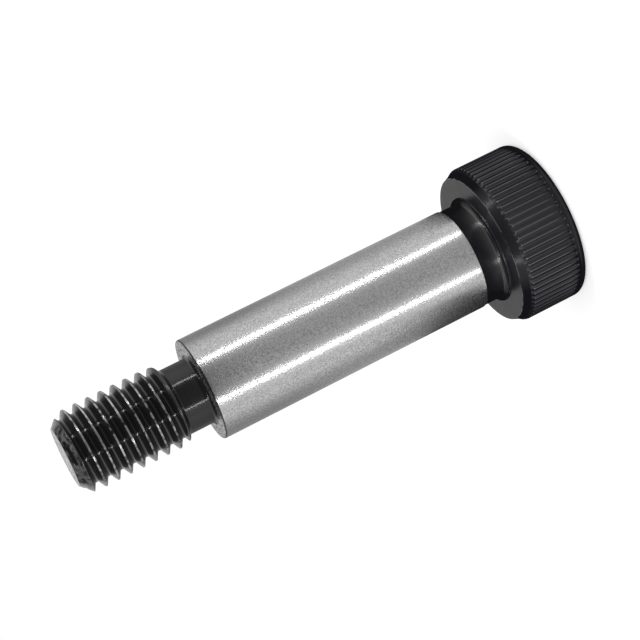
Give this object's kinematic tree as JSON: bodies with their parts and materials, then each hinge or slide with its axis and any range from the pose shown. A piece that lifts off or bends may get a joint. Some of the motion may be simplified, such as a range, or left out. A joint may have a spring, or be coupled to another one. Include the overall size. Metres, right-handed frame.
{
  "type": "shoulder bolt",
  "caption": "Hardened socket-head shoulder bolt: knurled round head, ground cylindrical shoulder, relief groove and a coarse right-hand metric thread with a chamfered point.",
  "frame": {"origin": "centre of the head's flat top face, which is the lowest face as the bolt stands on its head", "axes": "+Z along the bolt's axis from the head to the thread's point; +X through one corner of the hexagon socket; -Y faces the viewer of the picture"},
  "size_m": [0.0158, 0.0158, 0.0505],
  "materials": {
    "steel": "ground bare steel on the shoulder, satin black oxide on the head, neck, relief and thread"
  },
  "bodies": {
    "root": {"shoulder_bolt": "steel"}
  },
  "joints": []
}
